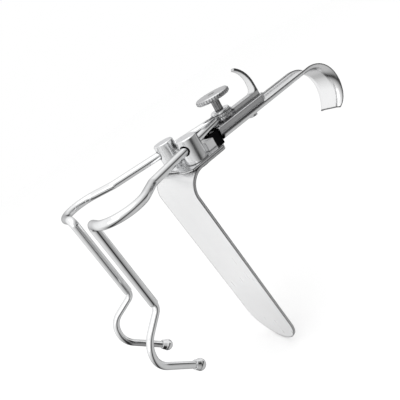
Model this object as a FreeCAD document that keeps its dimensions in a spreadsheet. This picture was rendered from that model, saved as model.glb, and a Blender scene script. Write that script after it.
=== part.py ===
import FreeCAD, Part
import math
import os

import Sketcher

# Three-bladed vaginal speculum: one flat blade and two bent-wire side blades.
# Millimetres. Z is up along the drum axes, X runs back along the handle and Y is to the left.
# The origin lies midway between the two drums, on the top face of the base plate.

os.makedirs("parts", exist_ok=True)
document = FreeCAD.newDocument("speculum")
sheet = document.addObject("Spreadsheet::Sheet", "sizes")
Vector = FreeCAD.Vector

drivingSizes = {
    # flat blade and the root plate that carries it
    "bladeWidth": 34.4,
    "bladeThickness": 1.3,
    "bladeReach": 115.5,
    "bladeLean": 10.8,
    "bladeFront": 15.1,
    "bladeTipLength": 20.0,
    "bendRadius": 9.3,
    "rootLength": 14.0,
    "rootCornerRadius": 4.0,
    # base plate under the drums
    "basePlateThickness": 0.9,
    "basePlateLobe": 10.8,
    "basePlateFront": 8.8,
    # drums that the wires slide through
    "drumSpacing": 21.4,
    "drumDiameter": 10.6,
    "drumHeight": 12.2,
    "drumEdge": 0.5,
    "drumSpigotDiameter": 5.0,
    "retainerDiameter": 8.0,
    "retainerThickness": 0.9,
    # wires
    "wireDiameter": 4.0,
    "wireClearance": 0.45,
    "rodHeight": 7.4,
    "rodTailGap": 8.4,
    "kinkDistance": 31.7,
    "kinkRadius": 4.0,
    "bowCentreX": 46.3,
    "bowCentreY": 19.9,
    "bowRadius": 11.7,
    "cornerRadius": 2.7,
    "sideBladeY": 12.9,
    "sideBladeLean": 1.8,
    "sideBladeSplay": 0.6,
    "sideBladeDrop": 46.4,
    "kneeRadius": 3.8,
    "offsetReach": 13.2,
    "hookRodDiameter": 3.2,
    "offsetSplay": 4.9,
    "offsetDrop": 7.0,
    "offsetRadius": 9.5,
    "hookLean": 2.2,
    "hookTuck": 0.6,
    "hookDrop": 10.7,
    "hookBendRadius": 11.0,
    "hookBackReach": 15.8,
    "hookBackTuck": 2.7,
    "hookBackDrop": 17.8,
    "tipLength": 5.9,
    "tipDiameter": 5.5,
    # stack on the thumb screw's axis
    "screwDistance": 32.0,
    "eyeDiameter": 11.6,
    "eyeThickness": 1.45,
    "eyeTeeth": 24,
    "eyeToothDepth": 0.35,
    "studDiameter": 3.2,
    "eyeBoreClearance": 0.08,
    "axialPlay": 0.1,
    "spacerDiameter": 7.4,
    "washerDiameter": 10.6,
    "washerThickness": 1.5,
    "stemDiameter": 4.4,
    "stemHeight": 6.1,
    "stemFlutes": 10,
    "stemFluteDiameter": 0.9,
    "discDiameter": 18.2,
    "discThickness": 2.7,
    "discTeeth": 36,
    "discToothWidth": 0.6,
    # slider and its finger hook
    "barWidth": 8.6,
    "barFront": 24.0,
    "barRear": 60.4,
    "barThickness": 3.9,
    "footFront": 38.3,
    "footHeight": 2.4,
    "footFilletRadius": 2.8,
    "fingerHookWidth": 5.4,
    "fingerHookTipWidth": 1.8,
    "fingerHookThickness": 1.4,
    "fingerHookX": 58.5,
    "fingerHookLeg": 6.9,
    "fingerHookRadius": 13.7,
    "fingerHookSweep": 60.0,
    # guide channel and handle trough
    "guideFront": 21.9,
    "guideRear": 56.4,
    "guideWall": 1.5,
    "guideHeight": 3.7,
    "guideFloor": 0.9,
    "guideSideClearance": 0.12,
    "handleStart": 21.4,
    "handleTongueFront": 15.4,
    "handleWeb": 6.0,
    "hookWeb": 4.4,
    "handleHalfWidth": 8.1,
    "handleThickness": 1.3,
    "handleSag": 2.6,
    "handleBottom": 1.3,
    "hookStart": 93.8,
    "hookRadius": 17.3,
    "hookTurn": 133.0,
    "hookSag": 3.2,
    "hookHalfWidth": 9.0,
    "hookEndHalfWidth": 7.6,
    "hookEndSag": 1.5,
    # neck and bridge behind the drums
    "neckFront": 12.1,
    "neckRear": 21.4,
    "neckWidth": 15.6,
    "neckHeight": 4.6,
    "neckFootDrop": 2.6,
    "neckCornerRadius": 3.0,
    "bridgeFront": 6.9,
    "bridgeWidth": 24.0,
    "bridgeHeight": 4.4,
    # fasteners
    "rivetDiameter": 2.4,
    "rivetInset": 3.0,
    "rivetPitch": 6.0,
    "keeperDiameter": 2.6,
    "keeperHeadDiameter": 5.2,
    "keeperHeadHeight": 1.5,
    "keeperX": 50.0,
    "keeperWasherDiameter": 6.6,
    "keeperWasherThickness": 0.6,
    "slotClearance": 0.35,
    "cutOvershoot": 1.0,
    "sliderBackTravel": 8.0,
    "sliderFrontTravel": 2.0,
}
for row, (alias, value) in enumerate(drivingSizes.items(), start=1):
    sheet.set("A%d" % row, alias)
    sheet.set("B%d" % row, str(value))
    sheet.setAlias("B%d" % row, alias)
document.recompute()

subParts = []


def size(alias):
    return float(sheet.get(alias))


def keep(piece, label):
    piece.Label = label
    subParts.append(piece)
    return piece


def bindAll(piece, expressions):
    for path, expression in expressions.items():
        piece.setExpression(path, expression)


# Sketch helpers: every point is placed from the origin by bound distances


def newBody(label):
    body = document.addObject("PartDesign::Body", label + "_body")
    return keep(body, label)


def originPlane(body, role):
    return [item for item in body.Origin.OriginFeatures if item.Role == role][0]


def newSketch(body, role, name, offset=None):
    sketch = body.newObject("Sketcher::SketchObject", name)
    sketch.AttachmentSupport = [(originPlane(body, role), "")]
    sketch.MapMode = "FlatFace"
    if offset:
        sketch.setExpression("AttachmentOffset.Base.z", offset)
    return sketch


def bindConstraint(sketch, constraint, name, expression):
    index = sketch.addConstraint(constraint)
    sketch.renameConstraint(index, name)
    sketch.setExpression("Constraints." + name, expression)


def pinPoint(sketch, geometry, point, name, place):
    across, along = place
    spot = sketch.getPoint(geometry, point)
    bindConstraint(sketch, Sketcher.Constraint("DistanceX", -1, 1, geometry, point, spot.x), name + "X", across)
    bindConstraint(sketch, Sketcher.Constraint("DistanceY", -1, 1, geometry, point, spot.y), name + "Y", along)


def addOutline(sketch, places):
    first = len(sketch.Geometry)
    count = len(places)
    start = [Vector(math.cos(math.tau * i / count), math.sin(math.tau * i / count), 0) for i in range(count)]
    for i in range(count):
        sketch.addGeometry(Part.LineSegment(start[i], start[(i + 1) % count]))
    for i in range(count):
        sketch.addConstraint(Sketcher.Constraint("Coincident", first + i, 2, first + (i + 1) % count, 1))
    for i, place in enumerate(places):
        pinPoint(sketch, first + i, 1, "corner%d" % (first + i), place)


def addBlock(sketch, low, high):
    addOutline(sketch, [low, (high[0], low[1]), high, (low[0], high[1])])


def addCircle(sketch, centre, radius):
    index = sketch.addGeometry(Part.Circle(Vector(1, 1, 0), Vector(0, 0, 1), 1))
    pinPoint(sketch, index, 3, "centre%d" % index, centre)
    bindConstraint(sketch, Sketcher.Constraint("Radius", index, 1.0), "radius%d" % index, radius)


def pad(body, sketch, name, length, symmetric=False, reverse=False):
    feature = body.newObject("PartDesign::Pad", name)
    feature.Profile = sketch
    feature.setExpression("Length", length)
    feature.SideType = "Symmetric" if symmetric else "One side"
    feature.Reversed = reverse
    document.recompute()
    return feature


def pocket(body, sketch, name, length=None, symmetric=False, reverse=False):
    before = body.Shape.Volume
    feature = body.newObject("PartDesign::Pocket", name)
    feature.Profile = sketch
    if length:
        feature.setExpression("Length", length)
    else:
        feature.Type = "ThroughAll"
    feature.SideType = "Symmetric" if symmetric else "One side"
    feature.Reversed = reverse
    document.recompute()
    if not body.Shape.Volume < before - 1e-6:
        raise RuntimeError(name + " cuts nothing")
    return feature


def edgeNames(shape, test):
    return ["Edge%d" % (i + 1) for i, edge in enumerate(shape.Edges) if test(edge)]


def dress(body, kind, name, test, path, expression):
    base = body.Tip
    names = edgeNames(base.Shape, test)
    if not names:
        raise RuntimeError(name + " finds no edge")
    feature = body.newObject("PartDesign::" + kind, name)
    feature.Base = (base, names)
    feature.setExpression(path, expression)
    document.recompute()
    if not feature.isValid():
        raise RuntimeError(name + " failed")
    return feature


def midpoint(edge):
    return edge.valueAt((edge.FirstParameter + edge.LastParameter) / 2)


def isLineAlong(edge, axis):
    if edge.Curve.TypeId != "Part::GeomLine":
        return False
    return abs(edge.Curve.Direction.dot(axis)) > 0.999


def isCircleAt(edge, height):
    if edge.Curve.TypeId != "Part::GeomCircle":
        return False
    return abs(edge.Curve.Center.z - height) < 1e-4


def polarPattern(body, feature, name, count):
    pattern = body.newObject("PartDesign::PolarPattern", name)
    pattern.Originals = [feature]
    pattern.Axis = ([item for item in body.Origin.OriginFeatures if item.Role == "Z_Axis"][0], [""])
    pattern.Angle = 360
    pattern.setExpression("Occurrences", count)
    body.Tip = pattern
    document.recompute()
    return pattern


# Primitive helpers


def cylinder(name, radius, height, place, role="Z"):
    piece = document.addObject("Part::Cylinder", name)
    bindAll(piece, {"Radius": radius, "Height": height})
    bindAll(piece, {".Placement.Base." + axis: value for axis, value in zip("xyz", place)})
    if role == "Y":
        piece.Placement.Rotation = FreeCAD.Rotation(Vector(1, 0, 0), -90)
    return piece


def fuse(name, pieces):
    joined = document.addObject("Part::MultiFuse", name)
    joined.Shapes = pieces
    return joined


def cut(name, base, tool):
    result = document.addObject("Part::Cut", name)
    result.Base = base
    result.Tool = tool
    return result


halfSpacing = "sizes.drumSpacing / 2"
rootTop = "-sizes.basePlateThickness"
rootBottom = "-(sizes.basePlateThickness + sizes.bladeThickness)"
sides = {"left": 1, "right": -1}
openingAngle = math.degrees(math.atan2(size("drumSpacing") / 2, size("screwDistance")))
boreRadius = "(sizes.wireDiameter / 2 + sizes.wireClearance)"


def makeBlade():
    body = newBody("blade")
    profile = newSketch(body, "XZ_Plane", "blade_profile")
    addOutline(profile, [
        ("sizes.rootLength", rootTop),
        ("-sizes.bladeFront", rootTop),
        ("-sizes.bladeFront + sizes.bladeLean", "-sizes.bladeReach"),
        ("-sizes.bladeFront + sizes.bladeLean + sizes.bladeThickness", "-sizes.bladeReach"),
        ("-sizes.bladeFront + sizes.bladeThickness * 1.1", rootBottom),
        ("sizes.rootLength", rootBottom),
    ])
    pad(body, profile, "blade_strip", "sizes.bladeWidth", symmetric=True)
    across = Vector(0, 1, 0)
    dress(body, "Fillet", "bend_front", lambda edge: isLineAlong(edge, across)
          and abs(midpoint(edge).x + size("bladeFront")) < 1e-3,
          "Radius", "sizes.bendRadius + sizes.bladeThickness")
    innerX = -size("bladeFront") + size("bladeThickness") * 1.1
    dress(body, "Fillet", "bend_back", lambda edge: isLineAlong(edge, across)
          and abs(midpoint(edge).x - innerX) < 1e-3, "Radius", "sizes.bendRadius")
    dress(body, "Fillet", "root_corners", lambda edge: isLineAlong(edge, Vector(0, 0, 1))
          and abs(midpoint(edge).x - size("rootLength")) < 1e-3, "Radius", "sizes.rootCornerRadius")
    cutTongueTip(body)
    holes = newSketch(body, "XY_Plane", "blade_holes")
    addDrumCircles(holes, "sizes.drumSpigotDiameter / 2 + sizes.eyeBoreClearance")
    for x in rivetPlaces:
        addCircle(holes, (x, "0"), "sizes.rivetDiameter / 2")
    pocket(body, holes, "blade_holes_cut", "sizes.basePlateThickness + sizes.bladeThickness + sizes.cutOvershoot")


def cutTongueTip(body):
    half = size("bladeWidth") / 2
    shoulder = "-(sizes.bladeReach - sizes.bladeTipLength)"
    centreHeight = size("bladeTipLength") - size("bladeReach")
    outline = newSketch(body, "YZ_Plane", "tongue_outline")
    past = "sizes.bladeWidth / 2 + sizes.cutOvershoot"
    below = "-sizes.bladeReach - sizes.cutOvershoot"
    places = [("-sizes.bladeWidth / 2", shoulder), ("-(" + past + ")", shoulder), ("-(" + past + ")", below),
              (past, below), (past, shoulder), ("sizes.bladeWidth / 2", shoulder)]
    over = size("cutOvershoot")
    start = [Vector(-half, centreHeight, 0), Vector(-half - over, centreHeight, 0),
             Vector(-half - over, -size("bladeReach") - over, 0), Vector(half + over, -size("bladeReach") - over, 0),
             Vector(half + over, centreHeight, 0), Vector(half, centreHeight, 0)]
    for i in range(5):
        outline.addGeometry(Part.LineSegment(start[i], start[i + 1]))
    outline.addGeometry(Part.Arc(start[0], Vector(0, -size("bladeReach"), 0), start[5]))
    for i in range(5):
        outline.addConstraint(Sketcher.Constraint("Coincident", i, 2, i + 1, 1) if i < 4 else
                              Sketcher.Constraint("Coincident", 4, 2, 5, 2))
    outline.addConstraint(Sketcher.Constraint("Coincident", 5, 1, 0, 1))
    for i, place in enumerate(places[:5]):
        pinPoint(outline, i, 1, "tip%d" % i, place)
    pinPoint(outline, 4, 2, "tip5", places[5])
    bindConstraint(outline, Sketcher.Constraint("Radius", 5, outline.Geometry[5].Radius), "tipRadius",
                   "((sizes.bladeWidth / 2) ^ 2 + sizes.bladeTipLength ^ 2) / (2 * sizes.bladeTipLength)")
    pocket(body, outline, "tongue_tip", "sizes.bladeFront * 4", symmetric=True)


def addDrumCircles(sketch, radius):
    addCircle(sketch, ("0", halfSpacing), radius)
    addCircle(sketch, ("0", "-" + halfSpacing), radius)


rivetPlaces = ["-sizes.basePlateFront / 2", "(sizes.bridgeFront + sizes.neckFront) / 2"]


def makeBasePlate():
    body = newBody("base_plate")
    outline = newSketch(body, "XY_Plane", "base_strip")
    addBlock(outline, ("-sizes.basePlateFront", "-sizes.bladeWidth / 2"),
             ("sizes.neckFront", "sizes.bladeWidth / 2"))
    pad(body, outline, "base_strip_pad", "sizes.basePlateThickness", reverse=True)
    lobes = newSketch(body, "XY_Plane", "base_lobes")
    addDrumCircles(lobes, "sizes.basePlateLobe")
    pad(body, lobes, "base_lobe_pad", "sizes.basePlateThickness", reverse=True)
    for side, sign in sides.items():
        trim = newSketch(body, "XY_Plane", side + "_trim")
        edge = "%d * sizes.bladeWidth / 2" % sign
        far = "%d * sizes.bladeWidth" % sign
        low, high = (edge, far) if sign > 0 else (far, edge)
        addBlock(trim, ("-sizes.bladeFront * 2", low), ("sizes.rootLength * 2", high))
        pocket(body, trim, side + "_flush_side", "sizes.basePlateThickness * 2", symmetric=True)
    holes = newSketch(body, "XY_Plane", "base_holes")
    addDrumCircles(holes, "sizes.drumSpigotDiameter / 2 + sizes.eyeBoreClearance")
    for x in rivetPlaces:
        addCircle(holes, (x, "0"), "sizes.rivetDiameter / 2")
    pocket(body, holes, "base_holes_cut", "sizes.basePlateThickness * 4", symmetric=True)


def makeDrum(side, sign):
    body = newBody(side + "_drum")
    body.setExpression(".Placement.Base.y", "%d * %s" % (sign, halfSpacing))
    bottom = "sizes.axialPlay"
    spigotEnd = rootBottom + " - sizes.retainerThickness - sizes.axialPlay"
    section = newSketch(body, "XZ_Plane", side + "_drum_section")
    addOutline(section, [
        ("0", "sizes.drumHeight"),
        ("sizes.drumDiameter / 2 - sizes.drumEdge", "sizes.drumHeight"),
        ("sizes.drumDiameter / 2", "sizes.drumHeight - sizes.drumEdge"),
        ("sizes.drumDiameter / 2", bottom),
        ("sizes.drumSpigotDiameter / 2", bottom),
        ("sizes.drumSpigotDiameter / 2", spigotEnd),
        ("0", spigotEnd),
    ])
    turned = body.newObject("PartDesign::Revolution", side + "_drum_turned")
    turned.Profile = section
    turned.ReferenceAxis = (section, ["V_Axis"])
    turned.Angle = 360
    document.recompute()
    bore = newSketch(body, "YZ_Plane", side + "_drum_bore")
    addCircle(bore, ("0", "sizes.rodHeight"), boreRadius)
    pocket(body, bore, side + "_drum_bore_cut", "sizes.drumDiameter * 2", symmetric=True)
    body.Placement.Rotation = FreeCAD.Rotation(Vector(0, 0, 1), -sign * openingAngle)
    retainer = cylinder(side + "_retainer_disc", "sizes.retainerDiameter / 2", "sizes.retainerThickness",
                        ("0", "%d * %s" % (sign, halfSpacing),
                         rootBottom + " - sizes.retainerThickness - sizes.axialPlay"))
    hole = cylinder(side + "_retainer_hole", "sizes.drumSpigotDiameter / 2", "sizes.retainerThickness * 3",
                    ("0", "%d * %s" % (sign, halfSpacing), rootBottom + " - sizes.retainerThickness * 2"))
    keep(cut(side + "_retainer_cut", retainer, hole), side + "_drum_retainer")


# Wires: each is a bent rod with a thinner hook below the knee, swept along straight runs and tangent arcs


def bendReach(before, corner, after, radius):
    turn = (corner - before).getAngle(after - corner)
    return radius * math.tan(turn / 2)


def roundedPath(points, radii):
    edges = []
    start = points[0]
    for before, corner, after, radius in zip(points, points[1:], points[2:], radii):
        incoming = (corner - before).normalize()
        outgoing = (after - corner).normalize()
        turn = math.acos(max(-1, min(1, incoming.dot(outgoing))))
        tangent = radius * math.tan(turn / 2)
        enter = corner - incoming * tangent
        leave = corner + outgoing * tangent
        bisector = (outgoing - incoming).normalize()
        middle = corner + bisector * (radius / math.cos(turn / 2) - radius)
        if (enter - start).Length > 1e-6:
            edges.append(Part.LineSegment(start, enter).toShape())
        edges.append(Part.Arc(enter, middle, leave).toShape())
        start = leave
    edges.append(Part.LineSegment(start, points[-1]).toShape())
    return Part.Wire(edges)


def wirePoints(sign):
    angle = math.radians(openingAngle)
    height = size("rodHeight")
    rod = Vector(-math.cos(angle), sign * math.sin(angle), 0)
    pivot = Vector(size("screwDistance"), 0, height)
    throughDrum = Vector(0, sign * size("drumSpacing") / 2, height)
    tail = pivot + rod * size("rodTailGap")
    kink = throughDrum + rod * size("kinkDistance")
    bow = Vector(-size("bowCentreX"), sign * size("bowCentreY"), height)
    radius = size("bowRadius")
    outward = bow + Vector(radius, 0, 0)
    toBow = bow - kink
    reach = math.sqrt(toBow.Length ** 2 - radius ** 2)
    swing = math.asin(radius / toBow.Length)
    run = FreeCAD.Rotation(Vector(0, 0, 1), -sign * math.degrees(swing)).multVec(toBow).normalize()
    touch = kink + run * reach
    frontX = -size("bowCentreX") - radius
    outerY = sign * (size("bowCentreY") + radius)
    along = (outerY - kink.y) / run.y
    shoulder = kink + run * along
    shoulder.z = height
    crown = Vector(frontX, outerY, height)
    corner = Vector(frontX, sign * size("sideBladeY"), height)
    knee = corner + Vector(size("sideBladeLean"), sign * size("sideBladeSplay"), -size("sideBladeDrop"))
    front = knee + Vector(-size("offsetReach"), sign * size("offsetSplay"), -size("offsetDrop"))
    bottom = front + Vector(-size("hookLean"), -sign * size("hookTuck"), -size("hookDrop"))
    ball = bottom + Vector(size("hookBackReach"), -sign * size("hookBackTuck"), -size("hookBackDrop"))
    step = knee + (corner - knee).normalize() * bendReach(corner, knee, front, size("kneeRadius"))
    end = ball - (ball - bottom).normalize() * (size("tipLength") - size("tipDiameter") / 2)
    thick = [tail, kink, shoulder, crown, corner, step]
    thickRadii = [size("kinkRadius"), radius, radius, size("cornerRadius")]
    thin = [step, knee, front, bottom, end]
    thinRadii = [size("kneeRadius"), size("offsetRadius"), size("hookBendRadius")]
    return thick, thickRadii, thin, thinRadii


def sweepRod(name, points, radii, diameter):
    path = document.addObject("Part::Feature", name + "_path")
    path.Shape = roundedPath(points, radii)
    section = document.addObject("Part::Circle", name + "_section")
    section.setExpression("Radius", diameter + " / 2")
    section.Placement = FreeCAD.Placement(points[0], FreeCAD.Rotation(Vector(0, 0, 1), points[1] - points[0]))
    rod = document.addObject("Part::Sweep", name + "_rod")
    rod.Sections = [section]
    rod.Spine = (path, ["Edge%d" % (i + 1) for i in range(len(path.Shape.Edges))])
    rod.Solid = True
    rod.Frenet = False
    return keep(rod, name)


def makeWire(side, sign):
    thick, thickRadii, thin, thinRadii = wirePoints(sign)
    sweepRod(side + "_wire", thick, thickRadii, "sizes.wireDiameter")
    sweepRod(side + "_side_hook", thin, thinRadii, "sizes.hookRodDiameter")
    direction = (thin[-1] - thin[-2]).normalize()
    ball = document.addObject("Part::Sphere", side + "_tip_ball")
    ball.setExpression("Radius", "sizes.tipDiameter / 2")
    ball.setExpression(".Placement.Base.z", "sizes.tipLength - sizes.tipDiameter / 2")
    # the neck swells from the foot to the height where the ball is as wide as the neck's top
    neck = document.addObject("Part::Cone", side + "_tip_neck")
    bindAll(neck, {"Radius1": "(sizes.hookRodDiameter + sizes.tipDiameter) / 4", "Radius2": "sizes.tipDiameter * 0.46",
                   "Height": "sizes.tipLength - sizes.tipDiameter * 0.69"})
    olive = fuse(side + "_olive", [ball, neck])
    olive.Placement = FreeCAD.Placement(thin[-1], FreeCAD.Rotation(Vector(0, 0, 1), direction))
    keep(olive, side + "_tip")


def makeEye(side, sign, bottom):
    body = newBody(side + "_eye")
    body.setExpression(".Placement.Base.x", "sizes.screwDistance")
    body.setExpression(".Placement.Base.z", bottom)
    body.Placement.Rotation = FreeCAD.Rotation(Vector(0, 0, 1), 180 - sign * openingAngle)
    makeLappedTongue(body, side)
    disc = newSketch(body, "XY_Plane", side + "_eye_disc")
    addCircle(disc, ("0", "0"), "sizes.eyeDiameter / 2")
    addCircle(disc, ("0", "0"), "sizes.studDiameter / 2 + sizes.eyeBoreClearance")
    pad(body, disc, side + "_eye_pad", "sizes.eyeThickness")
    notch = newSketch(body, "XY_Plane", side + "_eye_notch")
    addCircle(notch, ("-sizes.eyeDiameter / 2 - sizes.eyeToothDepth / 2", "0"), "sizes.eyeToothDepth")
    groove = pocket(body, notch, side + "_eye_tooth", "sizes.eyeThickness * 3", symmetric=True)
    polarPattern(body, groove, side + "_eye_teeth", "sizes.eyeTeeth")


def makeLappedTongue(body, side):
    radius = size("wireDiameter") / 2 - size("axialPlay") / 2
    flatHeight = 0 if side == "left" else size("eyeThickness")
    crown = flatHeight + (radius if side == "left" else -radius)
    ends = [Vector(radius, flatHeight, 0), Vector(-radius, flatHeight, 0)]
    if side == "right":
        ends.reverse()
    section = newSketch(body, "YZ_Plane", side + "_tongue_section", "sizes.washerDiameter / 2 + sizes.axialPlay")
    section.addGeometry(Part.Arc(ends[0], Vector(0, crown, 0), ends[1]))
    section.addGeometry(Part.LineSegment(ends[1], ends[0]))
    section.addConstraint(Sketcher.Constraint("Coincident", 0, 2, 1, 1))
    section.addConstraint(Sketcher.Constraint("Coincident", 0, 1, 1, 2))
    flat = "0" if side == "left" else "sizes.eyeThickness"
    pinPoint(section, 0, 3, "tongueCentre", ("0", flat))
    bindConstraint(section, Sketcher.Constraint("Radius", 0, radius), "tongueRadius",
                   "(sizes.wireDiameter - sizes.axialPlay) / 2")
    section.addConstraint(Sketcher.Constraint("Horizontal", 1))
    section.addConstraint(Sketcher.Constraint("PointOnObject", 0, 3, 1))
    pad(body, section, side + "_tongue", "sizes.rodTailGap - sizes.washerDiameter / 2 - sizes.axialPlay")


def eyeBottoms():
    lower = "sizes.rodHeight - sizes.eyeThickness - sizes.axialPlay / 2"
    upper = "sizes.rodHeight + sizes.axialPlay / 2"
    return {"right": lower, "left": upper}


stackTop = "sizes.rodHeight + sizes.eyeThickness + 1.5 * sizes.axialPlay"


def makeClamp():
    bottoms = eyeBottoms()
    for side, sign in sides.items():
        makeEye(side, sign, bottoms[side])
    spacerTop = "sizes.rodHeight - sizes.eyeThickness - 1.5 * sizes.axialPlay"
    spacer = cylinder("spacer_disc", "sizes.spacerDiameter / 2", "(" + spacerTop + ") - " + barTop,
                      ("sizes.screwDistance", "0", barTop))
    spacerHole = cylinder("spacer_hole", "sizes.studDiameter / 2", "sizes.rodHeight",
                          ("sizes.screwDistance", "0", "0"))
    keep(cut("spacer_cut", spacer, spacerHole), "eye_spacer")
    studFoot = "sizes.guideFloor + sizes.barThickness / 2"
    studTop = stackTop + " + sizes.washerThickness + sizes.stemHeight + sizes.discThickness"
    stud = cylinder("stud_rod", "sizes.studDiameter / 2", "(" + studTop + ") - (" + studFoot + ")",
                    ("sizes.screwDistance", "0", studFoot))
    keep(stud, "pivot_stud")
    washer = newBody("clamp_washer")
    washer.setExpression(".Placement.Base.x", "sizes.screwDistance")
    washer.setExpression(".Placement.Base.z", stackTop)
    disc = newSketch(washer, "XY_Plane", "washer_outline")
    addCircle(disc, ("0", "0"), "sizes.washerDiameter / 2")
    addCircle(disc, ("0", "0"), "sizes.studDiameter / 2 + sizes.eyeBoreClearance")
    pad(washer, disc, "washer_pad", "sizes.washerThickness")
    top = size("washerThickness")
    dress(washer, "Chamfer", "washer_rim", lambda edge: isCircleAt(edge, top)
          and edge.Curve.Radius > size("washerDiameter") / 3, "Size", "sizes.washerThickness / 3")
    makeThumbScrew()


def makeThumbScrew():
    stemBottom = stackTop + " + sizes.washerThickness + sizes.axialPlay"
    stem = newBody("thumb_stem")
    stem.setExpression(".Placement.Base.x", "sizes.screwDistance")
    stem.setExpression(".Placement.Base.z", stemBottom)
    barrel = newSketch(stem, "XY_Plane", "stem_outline")
    addCircle(barrel, ("0", "0"), "sizes.stemDiameter / 2")
    addCircle(barrel, ("0", "0"), "sizes.studDiameter / 2 + sizes.eyeBoreClearance")
    pad(stem, barrel, "stem_barrel", "sizes.stemHeight - sizes.axialPlay")
    flute = newSketch(stem, "XY_Plane", "stem_flute")
    addCircle(flute, ("sizes.stemDiameter / 2 + sizes.stemFluteDiameter / 5", "0"), "sizes.stemFluteDiameter / 2")
    groove = pocket(stem, flute, "stem_flute_cut", "sizes.stemHeight * 3", symmetric=True)
    polarPattern(stem, groove, "stem_flutes", "sizes.stemFlutes")
    disc = newBody("thumb_disc")
    disc.setExpression(".Placement.Base.x", "sizes.screwDistance")
    disc.setExpression(".Placement.Base.z", stackTop + " + sizes.washerThickness + sizes.stemHeight")
    section = newSketch(disc, "XZ_Plane", "disc_section")
    inner = "sizes.studDiameter / 2 + sizes.eyeBoreClearance"
    addOutline(section, [
        (inner, "0"),
        ("sizes.discDiameter / 2 - sizes.discThickness / 4", "0"),
        ("sizes.discDiameter / 2", "sizes.discThickness / 4"),
        ("sizes.discDiameter / 2", "sizes.discThickness * 0.75"),
        ("sizes.discDiameter / 2 - sizes.discThickness / 4", "sizes.discThickness"),
        (inner, "sizes.discThickness"),
    ])
    turned = disc.newObject("PartDesign::Revolution", "disc_turned")
    turned.Profile = section
    turned.ReferenceAxis = (section, ["V_Axis"])
    turned.Angle = 360
    document.recompute()
    notch = newSketch(disc, "XY_Plane", "disc_notch")
    addCircle(notch, ("sizes.discDiameter / 2 + sizes.discToothWidth / 5", "0"), "sizes.discToothWidth / 2")
    groove = pocket(disc, notch, "disc_notch_cut", "sizes.discThickness * 3", symmetric=True)
    polarPattern(disc, groove, "disc_knurl", "sizes.discTeeth")


barTop = "(sizes.guideFloor + sizes.barThickness)"
hookRivetPlaces = {"front": "sizes.footFront + sizes.rivetInset",
                   "rear": "sizes.footFront + sizes.rivetInset + sizes.rivetPitch"}


def makeSlider():
    body = newBody("slider_bar")
    outline = newSketch(body, "XZ_Plane", "bar_profile")
    addBlock(outline, ("sizes.barFront", "sizes.guideFloor + sizes.axialPlay"), ("sizes.barRear", barTop))
    pad(body, outline, "bar_blank", "sizes.barWidth", symmetric=True)
    dress(body, "Fillet", "bar_nose", lambda edge: isLineAlong(edge, Vector(0, 0, 1))
          and abs(midpoint(edge).x - size("barFront")) < 1e-3, "Radius", "sizes.barWidth / 3")
    dress(body, "Fillet", "bar_tail", lambda edge: isLineAlong(edge, Vector(0, 0, 1))
          and abs(midpoint(edge).x - size("barRear")) < 1e-3, "Radius", "sizes.barWidth / 4")
    sockets = newSketch(body, "XY_Plane", "bar_sockets", "sizes.guideFloor + sizes.barThickness / 2")
    addCircle(sockets, ("sizes.screwDistance", "0"), "sizes.studDiameter / 2")
    pocket(body, sockets, "stud_socket", "sizes.barThickness", reverse=True)
    keeper = newSketch(body, "XY_Plane", "keeper_socket_outline")
    addCircle(keeper, ("sizes.keeperX", "0"), "sizes.keeperDiameter / 2")
    pocket(body, keeper, "keeper_socket", barTop, reverse=True)
    rivets = newSketch(body, "XY_Plane", "hook_rivet_sockets", barTop)
    for x in hookRivetPlaces.values():
        addCircle(rivets, (x, "0"), "sizes.rivetDiameter / 2")
    pocket(body, rivets, "hook_rivet_cut", "sizes.barThickness / 2")
    makeKeeper()
    makeFingerHook()


def makeKeeper():
    under = "-sizes.handleBottom - sizes.axialPlay"
    washerBottom = under + " - sizes.keeperWasherThickness"
    shank = cylinder("keeper_shank", "sizes.keeperDiameter / 2", barTop + " - (" + washerBottom + ")",
                     ("sizes.keeperX", "0", washerBottom))
    head = cylinder("keeper_head", "sizes.keeperHeadDiameter / 2", "sizes.keeperHeadHeight",
                    ("sizes.keeperX", "0", washerBottom + " - sizes.keeperHeadHeight"))
    keep(fuse("keeper_screw_fuse", [shank, head]), "keeper_screw")
    disc = cylinder("keeper_washer_disc", "sizes.keeperWasherDiameter / 2", "sizes.keeperWasherThickness",
                    ("sizes.keeperX", "0", washerBottom))
    hole = cylinder("keeper_washer_hole", "sizes.keeperDiameter / 2", "sizes.keeperWasherThickness * 3",
                    ("sizes.keeperX", "0", washerBottom + " - sizes.keeperWasherThickness"))
    keep(cut("keeper_washer_cut", disc, hole), "keeper_washer")


def makeFingerHook():
    body = newBody("finger_hook")
    body.setExpression(".Placement.Base.z", barTop)
    foot = newSketch(body, "XZ_Plane", "hook_foot")
    inside = "sizes.fingerHookX - sizes.fingerHookThickness"
    addOutline(foot, [
        ("sizes.footFront", "0"),
        ("sizes.fingerHookX", "0"),
        ("sizes.fingerHookX", "sizes.fingerHookLeg"),
        (inside, "sizes.fingerHookLeg"),
        (inside, "sizes.footHeight"),
        ("sizes.footFront", "sizes.footHeight"),
    ])
    pad(body, foot, "hook_foot_pad", "sizes.fingerHookWidth", symmetric=True)
    insideX = size("fingerHookX") - size("fingerHookThickness")
    dress(body, "Fillet", "hook_root_bend", lambda edge: isLineAlong(edge, Vector(0, 1, 0))
          and abs(midpoint(edge).x - insideX) < 1e-3 and abs(midpoint(edge).z - size("footHeight")) < 1e-3,
          "Radius", "sizes.footFilletRadius")
    addHookCurve(body)
    taperHook(body)
    drill(body, "hook_rivet_holes", [(x, "0") for x in hookRivetPlaces.values()], "sizes.footHeight * 3")


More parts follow.
